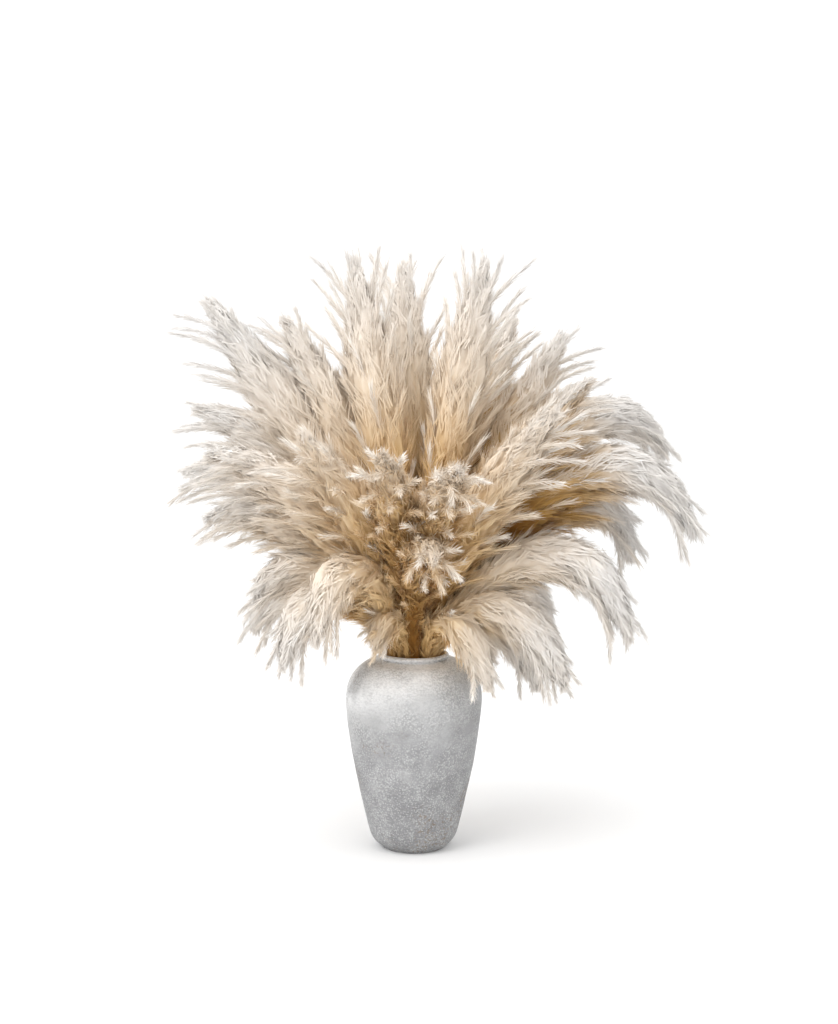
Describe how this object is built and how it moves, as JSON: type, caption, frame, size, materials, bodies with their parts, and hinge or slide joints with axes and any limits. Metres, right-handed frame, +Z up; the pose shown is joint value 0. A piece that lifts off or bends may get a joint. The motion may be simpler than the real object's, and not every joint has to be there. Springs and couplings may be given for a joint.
{
  "type": "bundle of pampas grass",
  "caption": "Full bunch of dried pampas grass plumes fanning out of a tapered, round-shouldered earthenware vase with a narrow neck.",
  "frame": {"origin": "centre of the vase's flat foot, on the surface that it stands on", "axes": "+Z up along the vase's axis, -Y towards the side that the picture shows, +X to its right"},
  "size_m": [0.8016, 0.6512, 0.91],
  "materials": {
    "vase_glaze": "matt white glaze with a fine pebbled, faintly crackled skin and cloudy grey patches",
    "plume_floss": "soft dry floss, golden tan inside, cream along the plume and pale grey white at the tips"
  },
  "bodies": {
    "root": {"vase": "vase_glaze", "plume_01": "plume_floss", "plume_02": "plume_floss", "plume_03": "plume_floss", "plume_04": "plume_floss", "plume_05": "plume_floss", "plume_06": "plume_floss", "plume_07": "plume_floss", "plume_08": "plume_floss", "plume_09": "plume_floss", "plume_10": "plume_floss", "plume_11": "plume_floss", "plume_12": "plume_floss", "plume_13": "plume_floss", "plume_14": "plume_floss", "plume_15": "plume_floss", "plume_16": "plume_floss", "plume_17": "plume_floss", "plume_18": "plume_floss", "plume_19": "plume_floss", "plume_20": "plume_floss", "plume_21": "plume_floss", "plume_22": "plume_floss", "plume_23": "plume_floss", "plume_24": "plume_floss", "plume_25": "plume_floss", "plume_26": "plume_floss", "plume_27": "plume_floss", "plume_28": "plume_floss", "plume_29": "plume_floss", "plume_30": "plume_floss", "plume_31": "plume_floss", "plume_32": "plume_floss", "plume_33": "plume_floss", "plume_34": "plume_floss", "plume_35": "plume_floss"}
  },
  "joints": []
}
